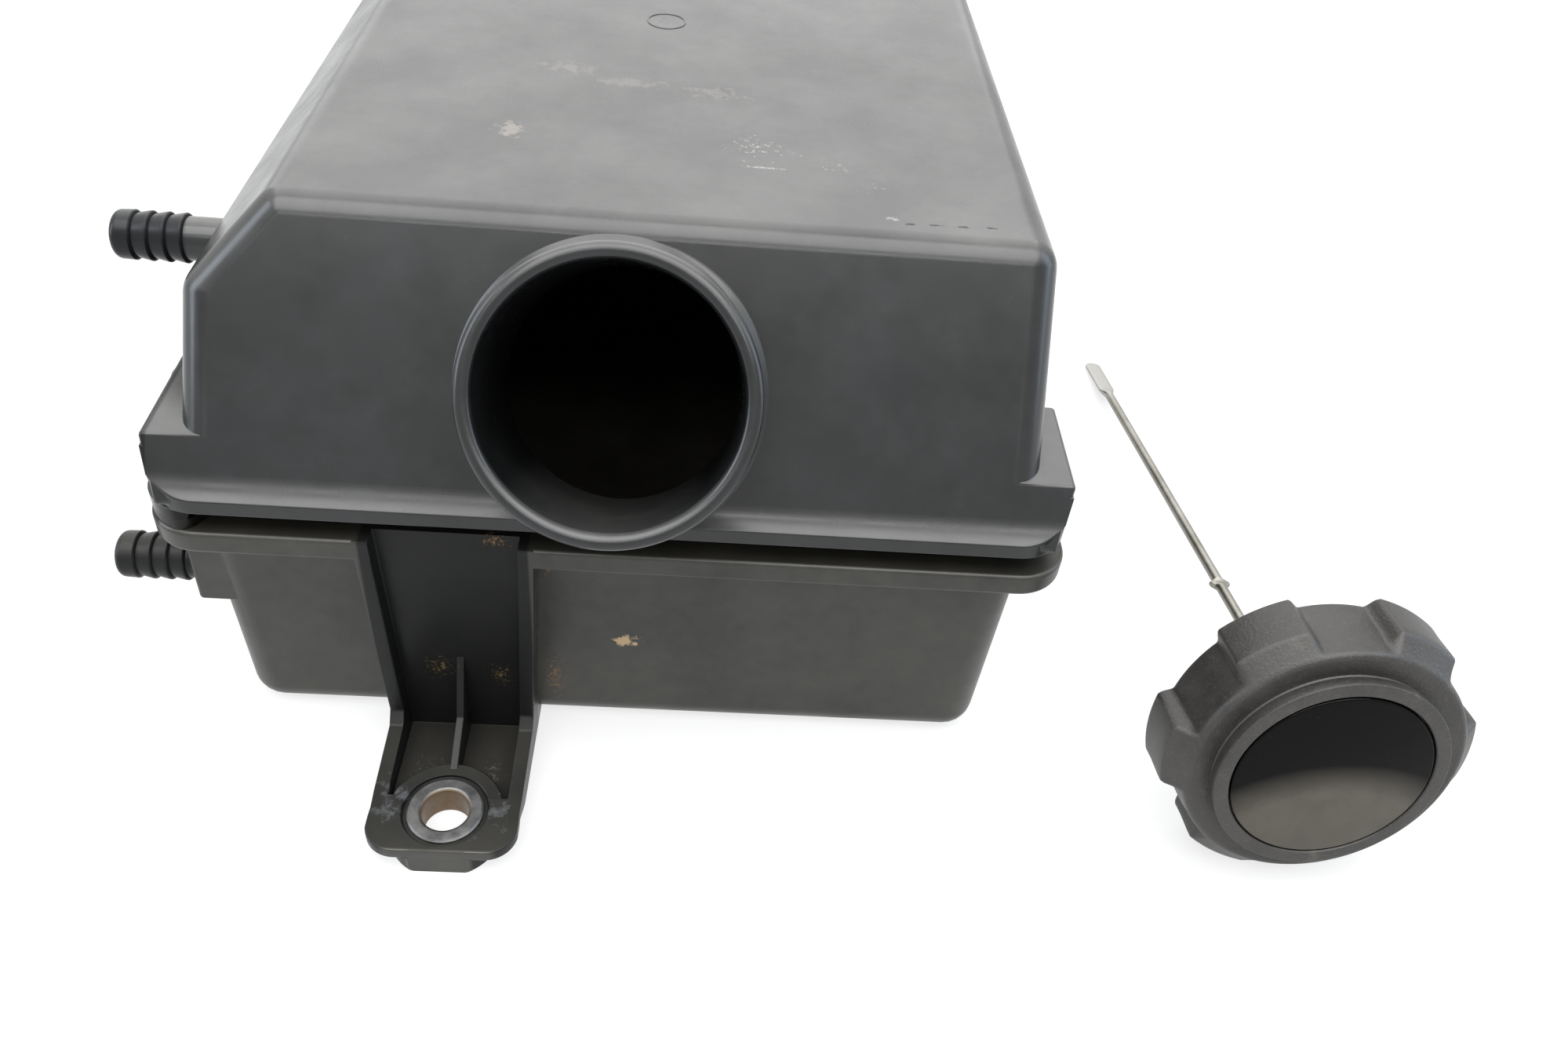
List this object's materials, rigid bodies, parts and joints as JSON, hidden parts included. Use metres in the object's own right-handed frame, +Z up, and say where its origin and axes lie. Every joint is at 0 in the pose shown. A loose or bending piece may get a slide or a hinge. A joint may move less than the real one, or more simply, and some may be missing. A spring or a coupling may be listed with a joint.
{
  "type": "oil tank",
  "caption": "Two-piece welded plastic oil tank with a slanted filler neck, two hose barbs, a bolt tab and a lobed cap with dipstick lying beside it.",
  "frame": {"origin": "centre of the tab's bolt hole, on the plane that the tank stands on", "axes": "+Z up along the bolt hole, +Y from the filler neck's end to the rear of the tank"},
  "size_m": [0.2602, 0.2505, 0.1202],
  "materials": {
    "shell_black": "moulded, satin",
    "shell_olive": "moulded, satin, dusty",
    "limiter_steel": "turned, dull, stained brown inside",
    "cap_black": "moulded, fine grain",
    "disc_gloss": "polished",
    "gasket_rubber": "moulded, matte",
    "wire_steel": "drawn, satin"
  },
  "bodies": {
    "root": {"upper_shell": "shell_black", "lower_shell": "shell_olive", "compression_limiter": "limiter_steel", "cap_grip": "cap_black", "cap_disc": "disc_gloss", "cap_gasket": "gasket_rubber", "dipstick": "wire_steel"}
  },
  "joints": []
}
